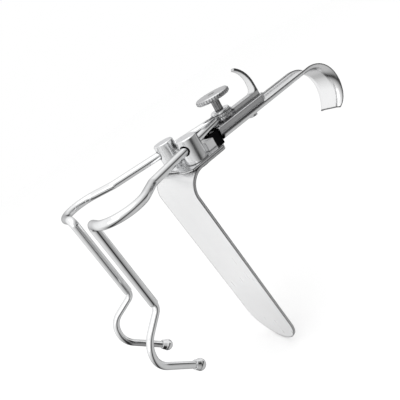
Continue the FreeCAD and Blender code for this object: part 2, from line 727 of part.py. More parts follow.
def addHookCurve(body):
    outer = size("fingerHookRadius")
    inner = outer - size("fingerHookThickness")
    sweep = math.radians(size("fingerHookSweep"))
    centre = Vector(size("fingerHookX") - outer, size("fingerHookLeg"), 0)
    start = Vector(1, 0, 0)
    middle = Vector(math.cos(sweep / 2), math.sin(sweep / 2), 0)
    tip = Vector(math.cos(sweep), math.sin(sweep), 0)
    curve = newSketch(body, "XZ_Plane", "hook_curve")
    curve.addGeometry(Part.Arc(centre + start * outer, centre + middle * outer, centre + tip * outer))
    curve.addGeometry(Part.LineSegment(centre + tip * outer, centre + tip * inner))
    curve.addGeometry(Part.Arc(centre + start * inner, centre + middle * inner, centre + tip * inner))
    curve.addGeometry(Part.LineSegment(centre + start * inner, centre + start * outer))
    for join in ((0, 2, 1, 1), (1, 2, 2, 2), (2, 1, 3, 1), (3, 2, 0, 1), (0, 3, 2, 3)):
        curve.addConstraint(Sketcher.Constraint("Coincident", *join))
    pinPoint(curve, 0, 3, "hookCentre", ("sizes.fingerHookX - sizes.fingerHookRadius", "sizes.fingerHookLeg"))
    bindConstraint(curve, Sketcher.Constraint("Radius", 0, outer), "outerRadius", "sizes.fingerHookRadius")
    bindConstraint(curve, Sketcher.Constraint("Radius", 2, inner), "innerRadius",
                   "sizes.fingerHookRadius - sizes.fingerHookThickness")
    curve.addConstraint(Sketcher.Constraint("Horizontal", 3))
    bindConstraint(curve, Sketcher.Constraint("DistanceX", -1, 1, 0, 2, curve.getPoint(0, 2).x), "hookTipX",
                   "sizes.fingerHookX - sizes.fingerHookRadius * (1 - cos(sizes.fingerHookSweep))")
    curve.addConstraint(Sketcher.Constraint("PointOnObject", 0, 3, 1))
    pad(body, curve, "hook_curve_pad", "sizes.fingerHookWidth", symmetric=True)


def taperHook(body):
    top = "sizes.fingerHookLeg + sizes.fingerHookRadius"
    for side, sign in sides.items():
        flank = newSketch(body, "YZ_Plane", side + "_hook_flank")
        places = [("%d * sizes.fingerHookWidth / 2" % sign, "sizes.footHeight"),
                  ("%d * sizes.fingerHookWidth" % sign, "sizes.footHeight"),
                  ("%d * sizes.fingerHookWidth" % sign, top),
                  ("%d * sizes.fingerHookTipWidth / 2" % sign, top)]
        addOutline(flank, places if sign > 0 else places[::-1])
        pocket(body, flank, side + "_hook_taper", reverse=True)


def makeGuide():
    body = newBody("guide_channel")
    inner = "(sizes.barWidth / 2 + sizes.guideSideClearance)"
    outer = "(sizes.barWidth / 2 + sizes.guideSideClearance + sizes.guideWall)"
    section = newSketch(body, "YZ_Plane", "guide_section", "sizes.guideFront")
    top = "sizes.guideFloor + sizes.guideHeight"
    addOutline(section, [
        ("-" + outer, "0"),
        (outer, "0"),
        (outer, top),
        (inner, top),
        (inner, "sizes.guideFloor"),
        ("-" + inner, "sizes.guideFloor"),
        ("-" + inner, top),
        ("-" + outer, top),
    ])
    pad(body, section, "guide_channel_pad", "sizes.guideRear - sizes.guideFront")
    slot = newSketch(body, "XY_Plane", "guide_slot")
    addSlot(slot)
    pocket(body, slot, "guide_slot_cut", "sizes.guideFloor * 3", symmetric=True)
    drill(body, "guide_rivet_holes", [(x, "0") for x in guideRivetPlaces.values()], "sizes.guideFloor * 3")


def troughNumbers(web, half, sag, thickness):
    reach = half - web
    radius = (reach ** 2 + sag ** 2) / (2 * sag)
    end = math.atan2(reach, radius - sag)
    outerEnd = Vector(web + radius * math.sin(end), radius - radius * math.cos(end), 0)
    inner = radius - thickness
    innerEnd = Vector(web + inner * math.sin(end), radius - inner * math.cos(end), 0)
    outerMiddle = Vector(web + radius * math.sin(end / 2), radius - radius * math.cos(end / 2), 0)
    innerMiddle = Vector(web + inner * math.sin(end / 2), radius - inner * math.cos(end / 2), 0)
    return outerEnd, innerEnd, outerMiddle, innerMiddle


def addTrough(sketch, name, numbers, expressions):
    thickness = size("handleThickness")
    web, half, sag = numbers
    webExpression, halfExpression, sagExpression = ["(%s)" % item for item in expressions]
    outerEnd, innerEnd, outerMiddle, innerMiddle = troughNumbers(web, half, sag, thickness)
    flip = lambda point: Vector(-point.x, point.y, 0)
    foot = Vector(web, 0, 0)
    inside = Vector(web, thickness, 0)
    sketch.addGeometry(Part.LineSegment(flip(foot), foot))
    sketch.addGeometry(Part.Arc(foot, outerMiddle, outerEnd))
    sketch.addGeometry(Part.LineSegment(outerEnd, innerEnd))
    sketch.addGeometry(Part.Arc(inside, innerMiddle, innerEnd))
    sketch.addGeometry(Part.LineSegment(inside, flip(inside)))
    sketch.addGeometry(Part.Arc(flip(innerEnd), flip(innerMiddle), flip(inside)))
    sketch.addGeometry(Part.LineSegment(flip(innerEnd), flip(outerEnd)))
    sketch.addGeometry(Part.Arc(flip(outerEnd), flip(outerMiddle), flip(foot)))
    joins = [(0, 2, 1, 1), (1, 2, 2, 1), (2, 2, 3, 2), (3, 1, 4, 1), (4, 2, 5, 2), (5, 1, 6, 1), (6, 2, 7, 1),
             (7, 2, 0, 1)]
    for join in joins:
        sketch.addConstraint(Sketcher.Constraint("Coincident", *join))
    radius = "((%s - %s) ^ 2 + %s ^ 2) / (2 * %s)" % (halfExpression, webExpression, sagExpression, sagExpression)
    for side, line, point in (("Right", 0, 2), ("Left", 0, 1)):
        sign = "" if side == "Right" else "-"
        pinPoint(sketch, line, point, name + "Foot" + side, (sign + webExpression, "0"))
    pinPoint(sketch, 4, 1, name + "InsideRight", (webExpression, "sizes.handleThickness"))
    pinPoint(sketch, 4, 2, name + "InsideLeft", ("-" + webExpression, "sizes.handleThickness"))
    pinPoint(sketch, 2, 1, name + "RimRight", (halfExpression, sagExpression))
    pinPoint(sketch, 6, 2, name + "RimLeft", ("-" + halfExpression, sagExpression))
    for arc in (1, 7):
        bindConstraint(sketch, Sketcher.Constraint("Radius", arc, sketch.Geometry[arc].Radius),
                       name + "Outer%d" % arc, radius)
    for arc, outer in ((3, 1), (5, 7)):
        sketch.addConstraint(Sketcher.Constraint("Coincident", arc, 3, outer, 3))
    sketch.addConstraint(Sketcher.Constraint("PointOnObject", 1, 3, 2))
    sketch.addConstraint(Sketcher.Constraint("PointOnObject", 7, 3, 6))


hookStations = [
    # share of the hook's turn, share of the hook's own section, share of the end's section
    (0.0, 0.0, 0.0),
    (0.2, 0.5, 0.0),
    (0.4, 1.0, 0.0),
    (0.65, 1.0, 0.0),
    (0.85, 1.0, 0.2),
    (1.0, 1.0, 1.0),
]


def blendSizes(straight, hook, end, deep, narrow):
    number = size(straight) + (size(hook) - size(straight)) * deep + (size(end) - size(hook)) * narrow
    expression = "sizes.%s + (sizes.%s - sizes.%s) * %s + (sizes.%s - sizes.%s) * %s" % (
        straight, hook, straight, deep, end, hook, narrow)
    return number, expression


def makeHandle():
    body = newBody("handle")
    body.setExpression(".Placement.Base.z", "-sizes.handleBottom")
    straight = newSketch(body, "YZ_Plane", "handle_section", "sizes.handleStart")
    addTrough(straight, "straight", [size("handleWeb"), size("handleHalfWidth"), size("handleSag")],
              ["sizes.handleWeb", "sizes.handleHalfWidth", "sizes.handleSag"])
    pad(body, straight, "handle_trough", "sizes.hookStart - sizes.handleStart")
    sections = []
    for index, (turn, deep, narrow) in enumerate(hookStations):
        blended = [blendSizes("handleWeb", "hookWeb", "hookWeb", deep, narrow),
                   blendSizes("handleHalfWidth", "hookHalfWidth", "hookEndHalfWidth", deep, narrow),
                   blendSizes("handleSag", "hookSag", "hookEndSag", deep, narrow)]
        section = newSketch(body, "YZ_Plane", "hook_section_%d" % index)
        addTrough(section, "hook", [number for number, _ in blended], [expression for _, expression in blended])
        angle = "(sizes.hookTurn * %s)" % turn
        section.setExpression("AttachmentOffset.Base.y", "-sizes.hookRadius * (1 - cos(%s))" % angle)
        section.setExpression("AttachmentOffset.Base.z", "sizes.hookStart + sizes.hookRadius * sin(%s)" % angle)
        section.AttachmentOffset = FreeCAD.Placement(
            section.AttachmentOffset.Base, FreeCAD.Rotation(Vector(1, 0, 0), size("hookTurn") * turn))
        sections.append(section)
    loft = body.newObject("PartDesign::AdditiveLoft", "large_hook")
    loft.Profile = sections[0]
    loft.Sections = sections[1:]
    loft.Ruled = False
    document.recompute()
    tongue = newSketch(body, "XY_Plane", "handle_tongue")
    addBlock(tongue, ("sizes.handleTongueFront", "-sizes.handleWeb"), ("sizes.handleStart + sizes.cutOvershoot", "sizes.handleWeb"))
    pad(body, tongue, "handle_tongue_pad", "sizes.handleThickness")
    slot = newSketch(body, "XY_Plane", "keeper_slot")
    addSlot(slot)
    pocket(body, slot, "keeper_slot_cut", "sizes.handleThickness * 4", symmetric=True)
    drill(body, "handle_rivet_holes", [(neckRivetX, "sizes.neckWidth / 4"), (neckRivetX, "-sizes.neckWidth / 4")]
          + [(x, "0") for x in guideRivetPlaces.values()], "sizes.handleThickness * 4")


guideRivetPlaces = {"front": "sizes.guideFront + sizes.rivetInset",
                    "rear": "sizes.keeperX - sizes.sliderFrontTravel - sizes.rivetPitch"}


def addSlot(sketch):
    front = "sizes.keeperX - sizes.sliderFrontTravel - sizes.keeperDiameter / 2 - sizes.slotClearance"
    rear = "sizes.keeperX + sizes.sliderBackTravel + sizes.keeperDiameter / 2 + sizes.slotClearance"
    half = "(sizes.keeperDiameter / 2 + sizes.slotClearance)"
    addBlock(sketch, (front, "-" + half), (rear, half))


def makeNeck():
    neck = newBody("neck_block")
    outline = newSketch(neck, "XY_Plane", "neck_outline", rootTop)
    addBlock(outline, ("sizes.neckFront", "-sizes.neckWidth / 2"), ("sizes.neckRear", "sizes.neckWidth / 2"))
    pad(neck, outline, "neck_pad", "sizes.basePlateThickness + sizes.neckHeight")
    foot = newSketch(neck, "XY_Plane", "neck_foot", rootTop)
    addBlock(foot, ("sizes.rootLength + sizes.slotClearance", "-sizes.neckWidth / 2"),
             ("sizes.neckRear", "sizes.neckWidth / 2"))
    pad(neck, foot, "neck_foot_pad", "sizes.neckFootDrop - sizes.basePlateThickness", reverse=True)
    dress(neck, "Fillet", "neck_corners", lambda edge: isLineAlong(edge, Vector(0, 0, 1))
          and abs(midpoint(edge).y) > size("neckWidth") / 2 - 0.1 and midpoint(edge).x > size("neckRear") - 0.1,
          "Radius", "sizes.neckCornerRadius")
    seat = newSketch(neck, "XY_Plane", "tongue_seat")
    addBlock(seat, ("sizes.handleTongueFront", "-sizes.handleWeb"),
             ("sizes.neckRear + sizes.cutOvershoot", "sizes.handleWeb"))
    pocket(neck, seat, "tongue_seat_cut", "sizes.handleBottom")
    drill(neck, "neck_rivet_holes", [(neckRivetX, "sizes.neckWidth / 4"), (neckRivetX, "-sizes.neckWidth / 4")],
          "sizes.neckHeight * 3")
    bridge = newBody("bridge_block")
    outline = newSketch(bridge, "XY_Plane", "bridge_outline")
    addBlock(outline, ("sizes.bridgeFront", "-sizes.bridgeWidth / 2"),
             ("sizes.neckFront", "sizes.bridgeWidth / 2"))
    pad(bridge, outline, "bridge_pad", "sizes.bridgeHeight")
    drill(bridge, "bridge_rivet_hole", [(rivetPlaces[1], "0")], "sizes.bridgeHeight * 3")


def drill(body, name, places, depth, offset=None):
    sketch = newSketch(body, "XY_Plane", name, offset)
    for place in places:
        addCircle(sketch, place, "sizes.rivetDiameter / 2")
    return pocket(body, sketch, name + "_cut", depth, symmetric=True)


def makeRivets():
    for name, x, top in (("front", rivetPlaces[0], "0"), ("rear", rivetPlaces[1], "sizes.bridgeHeight")):
        keep(cylinder("root_rivet_rod_" + name, "sizes.rivetDiameter / 2", top + " - (" + rootBottom + ")",
                      (x, "0", rootBottom)), "root_rivet_" + name)
    for side, sign in sides.items():
        keep(cylinder("neck_rivet_rod_" + side, "sizes.rivetDiameter / 2", "sizes.neckHeight + sizes.neckFootDrop",
                      (neckRivetX, "%d * sizes.neckWidth / 4" % sign, "-sizes.neckFootDrop")),
             side + "_neck_rivet")
    for name, x in guideRivetPlaces.items():
        keep(cylinder("guide_rivet_rod_" + name, "sizes.rivetDiameter / 2",
                      "sizes.guideFloor + sizes.handleBottom", (x, "0", "-sizes.handleBottom")),
             "guide_rivet_" + name)
    for name, x in hookRivetPlaces.items():
        keep(cylinder("hook_rivet_rod_" + name, "sizes.rivetDiameter / 2",
                      "sizes.barThickness / 2 + sizes.footHeight",
                      (x, "0", "sizes.guideFloor + sizes.barThickness / 2")), "hook_rivet_" + name)


neckRivetX = "(sizes.handleTongueFront + sizes.neckRear) / 2"


makeBlade()
makeBasePlate()
makeNeck()
makeHandle()
for side, sign in sides.items():
    makeDrum(side, sign)
    makeWire(side, sign)
makeClamp()
makeSlider()
makeGuide()
makeRivets()

document.recompute()
for piece in document.Objects:
    if "Invalid" in piece.State or "Error" in piece.State:
        raise RuntimeError("%s failed: %s" % (piece.Name, piece.State))
for piece in subParts:
    shape = piece.Shape
    if shape.isNull() or not shape.isValid():
        raise RuntimeError(piece.Label + " has no valid shape")
    print("%-20s solids %d  volume %.2f" % (piece.Label, len(shape.Solids), shape.Volume))
    shape.exportStep("parts/%s.step" % piece.Label)
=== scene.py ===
import math

import bpy
from mathutils import Matrix, Vector


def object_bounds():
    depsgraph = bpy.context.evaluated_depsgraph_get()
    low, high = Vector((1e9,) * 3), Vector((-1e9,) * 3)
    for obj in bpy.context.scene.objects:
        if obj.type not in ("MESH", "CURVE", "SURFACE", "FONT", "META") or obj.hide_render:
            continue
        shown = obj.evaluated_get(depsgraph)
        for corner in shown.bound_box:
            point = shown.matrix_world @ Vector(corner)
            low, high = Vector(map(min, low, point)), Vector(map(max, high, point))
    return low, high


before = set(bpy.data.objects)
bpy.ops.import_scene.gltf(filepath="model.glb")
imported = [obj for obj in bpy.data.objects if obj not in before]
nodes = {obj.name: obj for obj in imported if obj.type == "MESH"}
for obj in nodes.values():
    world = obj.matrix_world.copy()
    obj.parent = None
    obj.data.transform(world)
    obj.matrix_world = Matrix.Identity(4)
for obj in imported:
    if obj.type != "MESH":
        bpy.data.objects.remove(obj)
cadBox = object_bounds()
print("frame loaded with", len(nodes), "nodes")

camera = {
    "place": (-0.0958, -0.172, 0.0486),  # where the photographer stood, in metres
    "heading": 62.0,  # degrees round from +X
    "pitch": -19.4,
    "roll": -31.0,
    "lens": 37.6,
    "sensor": 36.0,
    "near": 0.005,
    "far": 20.0,
}


# A direction from degrees round from +X and degrees up
def pointing(turn, rise):
    turn, rise = math.radians(turn), math.radians(rise)
    return math.cos(rise) * math.cos(turn), math.cos(rise) * math.sin(turn), math.sin(rise)


def placeCamera():
    data = bpy.data.cameras.new("photoCamera")
    data.lens = camera["lens"]
    data.sensor_width = camera["sensor"]
    data.clip_start = camera["near"]
    data.clip_end = camera["far"]
    holder = bpy.data.objects.new("photoCamera", data)
    bpy.context.scene.collection.objects.link(holder)
    forward = Vector(pointing(camera["heading"], camera["pitch"]))
    level = Vector(pointing(camera["heading"] - 90, 0))
    upright = level.cross(forward)
    roll = math.radians(camera["roll"])
    right = level * math.cos(roll) + upright * math.sin(roll)
    up = upright * math.cos(roll) - level * math.sin(roll)
    turn = Matrix((right, up, -forward)).transposed().to_4x4()
    holder.matrix_world = Matrix.Translation(Vector(camera["place"])) @ turn
    bpy.context.scene.camera = holder


placeCamera()
print("camera placed")


# Small helpers for node trees

def newTree(name):
    material = bpy.data.materials.new(name)
    material.use_nodes = True
    material.node_tree.nodes.clear()
    return material, material.node_tree


def addNode(tree, kind, place, sockets=None, **settings):
    node = tree.nodes.new(kind)
    node.location = place
    for name, value in settings.items():
        setattr(node, name, value)
    for name, value in (sockets or {}).items():
        node.inputs[name].default_value = value
    return node


def addMix(tree, place, **colours):
    sockets = {name: colour + (1.0,) for name, colour in colours.items()}
    return addNode(tree, "ShaderNodeMix", place, sockets, data_type="RGBA")


def newGroup(name, inputs, outputs):
    group = bpy.data.node_groups.new(name, "ShaderNodeTree")
    for label, kind, value in inputs:
        socket = group.interface.new_socket(name=label, in_out="INPUT", socket_type="NodeSocket" + kind)
        socket.default_value = value
    for label, kind in outputs:
        group.interface.new_socket(name=label, in_out="OUTPUT", socket_type="NodeSocket" + kind)
    return group, group.nodes.new("NodeGroupInput"), group.nodes.new("NodeGroupOutput")


def placeGroup(tree, group, place, **sockets):
    return addNode(tree, "ShaderNodeGroup", place, sockets, node_tree=group)


# A value turned into a mask that is empty at one level of it and full at another
def maskBetween(group, value, strength, look):
    shape = addNode(group, "ShaderNodeMapRange", (-280, 0),
                    {"From Min": look["maskEmpty"], "From Max": look["maskFull"]}, clamp=True)
    weigh = addNode(group, "ShaderNodeMath", (-80, 0), operation="MULTIPLY")
    group.links.new(value, shape.inputs["Value"])
    group.links.new(shape.outputs["Result"], weigh.inputs[0])
    group.links.new(strength, weigh.inputs[1])
    return weigh.outputs[0]


grainLook = {
    "fineDetail": 2.0,
    "broadDetail": 3.0,
    "broadScale": 0.18,  # of the fine lines' scale
}


# Fine parallel lines left by a buffing wheel, stretched along one axis of the part
def makeBuffedGrain():
    group, given, result = newGroup("buffedGrain", [
        ("Stretch", "Vector", (1.0, 1.0, 0.03)),
        ("Fineness", "Float", 2600.0),
    ], [("Height", "Float"), ("Streaks", "Float")])
    place = addNode(group, "ShaderNodeTexCoord", (-900, 0))
    stretch = addNode(group, "ShaderNodeVectorMath", (-700, 0), operation="MULTIPLY")
    fine = addNode(group, "ShaderNodeTexNoise", (-480, 120), {"Detail": grainLook["fineDetail"]})
    broad = addNode(group, "ShaderNodeTexNoise", (-480, -160), {"Detail": grainLook["broadDetail"]})
    slower = addNode(group, "ShaderNodeMath", (-660, -200), {1: grainLook["broadScale"]},
                     operation="MULTIPLY")
    link = group.links.new
    link(place.outputs["Object"], stretch.inputs[0])
    link(given.outputs["Stretch"], stretch.inputs[1])
    link(stretch.outputs[0], fine.inputs["Vector"])
    link(stretch.outputs[0], broad.inputs["Vector"])
    link(given.outputs["Fineness"], fine.inputs["Scale"])
    link(given.outputs["Fineness"], slower.inputs[0])
    link(slower.outputs[0], broad.inputs["Scale"])
    link(fine.outputs["Fac"], result.inputs["Height"])
    link(broad.outputs["Fac"], result.inputs["Streaks"])
    return group


handlingLook = {
    "detail": 5.0,
    "roughness": 0.62,
    "clean": 0.36,  # cloud levels where the steel is clean and where it is fully handled
    "handled": 0.68,
}


# Soft cloudy patches where hands and cloths have passed
def makeHandling():
    group, given, result = newGroup("handling", [("Size", "Float", 90.0)], [("Mask", "Float")])
    place = addNode(group, "ShaderNodeTexCoord", (-800, 0))
    cloud = addNode(group, "ShaderNodeTexNoise", (-600, 0),
                    {"Detail": handlingLook["detail"], "Roughness": handlingLook["roughness"]})
    shape = addNode(group, "ShaderNodeMapRange", (-380, 0),
                    {"From Min": handlingLook["clean"], "From Max": handlingLook["handled"]}, clamp=True)
    link = group.links.new
    link(place.outputs["Object"], cloud.inputs["Vector"])
    link(given.outputs["Size"], cloud.inputs["Scale"])
    link(cloud.outputs["Fac"], shape.inputs["Value"])
    link(shape.outputs["Result"], result.inputs["Mask"])
    return group


edgeLook = {
    "samples": 8,
    "maskEmpty": 0.985,  # how well the rounded and the flat normal agree, off the edge and on it
    "maskFull": 0.88,
}


# Every sharp edge is rounded a little by the polishing wheel, and a thin line along it is masked for painted
# edge colour: a painted dark reflection, lighter on the guide as a painted highlight
def makeRoundedEdge():
    group, given, result = newGroup("roundedEdge", [
        ("Radius", "Float", 0.0004),
        ("Wear", "Float", 1.0),
    ], [("Normal", "Vector"), ("Mask", "Float")])
    rounded = addNode(group, "ShaderNodeBevel", (-700, 100), samples=edgeLook["samples"])
    flat = addNode(group, "ShaderNodeNewGeometry", (-700, -120))
    agree = addNode(group, "ShaderNodeVectorMath", (-480, 0), operation="DOT_PRODUCT")
    link = group.links.new
    link(given.outputs["Radius"], rounded.inputs["Radius"])
    link(rounded.outputs["Normal"], agree.inputs[0])
    link(flat.outputs["Normal"], agree.inputs[1])
    mask = maskBetween(group, agree.outputs["Value"], given.outputs["Wear"], edgeLook)
    link(mask, result.inputs["Mask"])
    link(rounded.outputs["Normal"], result.inputs["Normal"])
    return group


seamShadeLook = {
    "samples": 8,
    "maskEmpty": 0.85,  # how open an uncovered face is, and a shut seam, within the mask's reach
    "maskFull": 0.25,
    # near black: the painted shade laid in the seams
    "tone": (0.012, 0.012, 0.012),
}
rimLook = {
    "samples": 8,
    "maskEmpty": 0.78,  # the same, looking inwards from a sheet's face and from its cut rim
    "maskFull": 0.60,
}


# Marks what has other surface close by: outwards for seams, inwards for the thin rims of sheets
def makeNearness(name, look, **settings):
    group, given, result = newGroup(name, [
        ("Reach", "Float", 0.0012),
        ("Depth", "Float", 0.8),
    ], [("Mask", "Float")])
    near = addNode(group, "ShaderNodeAmbientOcclusion", (-700, 0), samples=look["samples"], **settings)
    group.links.new(given.outputs["Reach"], near.inputs["Distance"])
    mask = maskBetween(group, near.outputs["AO"], given.outputs["Depth"], look)
    group.links.new(mask, result.inputs["Mask"])
    return group


roundedEdge = makeRoundedEdge()
rim = makeNearness("rim", rimLook, inside=True, only_local=True)  # the cut rim of a sheet gets the painted edge colour, a painted dark reflection
seamShade = makeNearness("seamShade", seamShadeLook)  # painted shade: near black between two pieces
buffedGrain = makeBuffedGrain()
handling = makeHandling()
print("finish groups made")


# Base colour: clean and handled steel, then painted edge colour along edges and rims over it (a painted dark
# reflection, lighter on the guide as a painted highlight), then painted shade in the seams
def steelColour(tree, look, marks, edges):
    link = tree.links.new
    rims = placeGroup(tree, rim, (-340, 660), Reach=look["rimReach"], Depth=look["rimDepth"])
    seams = placeGroup(tree, seamShade, (60, 520), Reach=look["seamReach"], Depth=look["seamDepth"])
    tone = addMix(tree, (-100, 220), A=look["colour"], B=look["dullColour"])
    either = addNode(tree, "ShaderNodeMath", (-60, 520), operation="MAXIMUM")
    outlined = addMix(tree, (160, 260), B=look["paintedEdgeColour"])
    seamShaded = addMix(tree, (330, 300), B=seamShadeLook["tone"])
    link(marks.outputs["Mask"], tone.inputs["Factor"])
    link(edges.outputs["Mask"], either.inputs[0])
    link(rims.outputs["Mask"], either.inputs[1])
    link(either.outputs[0], outlined.inputs["Factor"])
    link(tone.outputs["Result"], outlined.inputs["A"])
    link(seams.outputs["Mask"], seamShaded.inputs["Factor"])
    link(outlined.outputs["Result"], seamShaded.inputs["A"])
    return seamShaded.outputs["Result"]


streakLook = {
    "low": 0.3,  # noise levels of the smoothest and the roughest streak
    "high": 0.7,
    "share": 0.35,  # of the finish's spread of roughness
}


def steelRoughness(tree, look, marks, grain):
    link = tree.links.new
    swing = look["roughSpread"] * streakLook["share"]
    patches = addNode(tree, "ShaderNodeMapRange", (-340, -40),
                      {"To Min": look["roughness"], "To Max": look["roughness"] + look["roughSpread"]})
    streaks = addNode(tree, "ShaderNodeMapRange", (-340, -300), {
        "From Min": streakLook["low"], "From Max": streakLook["high"], "To Min": -swing, "To Max": swing})
    total = addNode(tree, "ShaderNodeMath", (-60, -120), operation="ADD")
    link(marks.outputs["Mask"], patches.inputs["Value"])
    link(grain.outputs["Streaks"], streaks.inputs["Value"])
    link(patches.outputs["Result"], total.inputs[0])
    link(streaks.outputs["Result"], total.inputs[1])
    return total.outputs[0]


def makeSteel(name, look):
    material, tree = newTree(name)
    link = tree.links.new
    shader = addNode(tree, "ShaderNodeBsdfPrincipled", (500, 0),
                     {"Metallic": look["metal"], "Specular Tint": look["grazing"] + (1.0,)})
    end = addNode(tree, "ShaderNodeOutputMaterial", (800, 0))
    grain = placeGroup(tree, buffedGrain, (-600, -260), Stretch=look["stretch"], Fineness=look["fineness"])
    marks = placeGroup(tree, handling, (-600, 60), Size=look["patchSize"])
    edges = placeGroup(tree, roundedEdge, (-340, 460), Radius=look["edgeRadius"], Wear=look["edgeWear"])
    bump = addNode(tree, "ShaderNodeBump", (60, -320),
                   {"Strength": look["bump"], "Distance": look["bumpDepth"]})
    link(steelColour(tree, look, marks, edges), shader.inputs["Base Color"])
    link(steelRoughness(tree, look, marks, grain), shader.inputs["Roughness"])
    link(grain.outputs["Height"], bump.inputs["Height"])
    link(edges.outputs["Normal"], bump.inputs["Normal"])
    link(bump.outputs["Normal"], shader.inputs["Normal"])
    link(shader.outputs["BSDF"], end.inputs["Surface"])
    return material


# What the finishes share; each finish then says how it differs. Reaches and radii are in metres.
plainSteel = {
    "metal": 1.0,
    "stretch": (1.0, 1.0, 1.0),
    "bump": 0.04,
    "bumpDepth": 0.00002,
    "rimReach": 0.0012,  # just under the sheets' thickness
    "rimDepth": 0.0,
    # the seam mask lays painted shade between pieces
    "seamReach": 0.0012,
    "seamDepth": 0.85,
}
# Each finish's edge colour is painted along its edges and rims: a painted dark reflection, lighter on the
# guide as a painted highlight
steels = {
    "mirrorWire": {
        "colour": (0.92, 0.925, 0.93), "dullColour": (0.86, 0.865, 0.87), "grazing": (0.45, 0.45, 0.455),
        "paintedEdgeColour": (0.30, 0.30, 0.31), "edgeRadius": 0.0004, "edgeWear": 0.5,
        "roughness": 0.05, "roughSpread": 0.04, "fineness": 900.0, "patchSize": 120.0,
        "bump": 0.02, "seamReach": 0.0008,
    },
    "buffedSheet": {
        "colour": (0.90, 0.90, 0.905), "dullColour": (0.85, 0.855, 0.86), "grazing": (0.80, 0.80, 0.805),
        "paintedEdgeColour": (0.03, 0.03, 0.032), "edgeRadius": 0.0008, "edgeWear": 1.0,
        "roughness": 0.18, "roughSpread": 0.05, "fineness": 1800.0, "patchSize": 22.0,
        "stretch": (1.0, 1.0, 0.03), "bump": 0.03, "rimDepth": 0.85,
    },
    "satinBlade": {
        "metal": 0.62,
        "colour": (0.92, 0.922, 0.925), "dullColour": (0.86, 0.862, 0.865), "grazing": (1.0, 1.0, 1.0),
        "paintedEdgeColour": (0.02, 0.02, 0.022), "edgeRadius": 0.0008, "edgeWear": 1.0,
        "roughness": 0.26, "roughSpread": 0.06, "fineness": 1800.0, "patchSize": 18.0,
        "stretch": (1.0, 1.0, 0.03), "bump": 0.03, "rimDepth": 0.75,
    },
    "guideSheet": {
        "colour": (0.80, 0.80, 0.81), "dullColour": (0.72, 0.72, 0.73), "grazing": (0.70, 0.70, 0.71),
        # its edge colour is lighter than the sheet: a painted highlight along the lip
        "paintedEdgeColour": (0.90, 0.90, 0.91), "edgeRadius": 0.0012, "edgeWear": 0.5,
        "roughness": 0.16, "roughSpread": 0.06, "fineness": 2400.0, "patchSize": 60.0,
        "stretch": (0.03, 1.0, 1.0), "bump": 0.02, "bumpDepth": 0.00001,
    },
    "turnedSteel": {
        "colour": (0.88, 0.885, 0.89), "dullColour": (0.80, 0.805, 0.81), "grazing": (0.70, 0.70, 0.71),
        "paintedEdgeColour": (0.08, 0.08, 0.085), "edgeRadius": 0.0004, "edgeWear": 0.85,
        "roughness": 0.17, "roughSpread": 0.05, "fineness": 2600.0, "patchSize": 160.0,
        "stretch": (0.03, 0.03, 1.0), "bump": 0.03, "bumpDepth": 0.00001,
        "seamReach": 0.0014, "seamDepth": 0.9,
    },
    "screwSteel": {
        "colour": (0.88, 0.885, 0.89), "dullColour": (0.78, 0.785, 0.79), "grazing": (0.75, 0.75, 0.76),
        "paintedEdgeColour": (0.05, 0.05, 0.055), "edgeRadius": 0.0005, "edgeWear": 0.9,
        "roughness": 0.06, "roughSpread": 0.04, "fineness": 1400.0, "patchSize": 200.0,
        "seamDepth": 0.95,
    },
    "discSteel": {
        "colour": (0.72, 0.722, 0.73), "dullColour": (0.60, 0.602, 0.61), "grazing": (0.62, 0.62, 0.625),
        "paintedEdgeColour": (0.04, 0.04, 0.042), "edgeRadius": 0.0005, "edgeWear": 1.0,
        "roughness": 0.12, "roughSpread": 0.06, "fineness": 1400.0, "patchSize": 200.0,
        "bump": 0.05, "seamDepth": 0.95,
    },
    "stemSteel": {
        "colour": (0.46, 0.46, 0.465), "dullColour": (0.34, 0.34, 0.345), "grazing": (0.40, 0.40, 0.40),
        "paintedEdgeColour": (0.03, 0.03, 0.03), "edgeRadius": 0.0003, "edgeWear": 0.9,
        "roughness": 0.10, "roughSpread": 0.05, "fineness": 3000.0, "patchSize": 240.0,
        "stretch": (0.03, 0.03, 1.0), "seamDepth": 0.95,
    },
    "hookSheet": {
        "colour": (0.86, 0.862, 0.865), "dullColour": (0.78, 0.782, 0.785), "grazing": (0.60, 0.60, 0.605),
        "paintedEdgeColour": (0.38, 0.38, 0.385), "edgeRadius": 0.0004, "edgeWear": 0.8,
        "roughness": 0.16, "roughSpread": 0.05, "fineness": 1800.0, "patchSize": 40.0,
        "stretch": (1.0, 1.0, 0.03), "bump": 0.03, "rimDepth": 0.6, "seamReach": 0.0010,
    },
    # Near black, a painted shade: the neck block fills the deep shadow in the gap between the block and the
    # handle
    "paintedShadeSteel": {
        "colour": (0.008, 0.008, 0.009), "dullColour": (0.014, 0.014, 0.015), "grazing": (0.02, 0.02, 0.02),
        "paintedEdgeColour": (0.02, 0.02, 0.02), "edgeRadius": 0.0003, "edgeWear": 0.5,
        "roughness": 0.30, "roughSpread": 0.10, "fineness": 1200.0, "patchSize": 220.0,
        "seamReach": 0.001, "seamDepth": 0.8,
    },
}
steels["satinBlock"] = {**steels["satinBlade"], "rimDepth": 0.0, "edgeWear": 0.4}
steels["plateSheet"] = {**steels["buffedSheet"], "rimDepth": 0.0}  # too thin for the rim mask
finish = {name: makeSteel(name, {**plainSteel, **look}) for name, look in steels.items()}

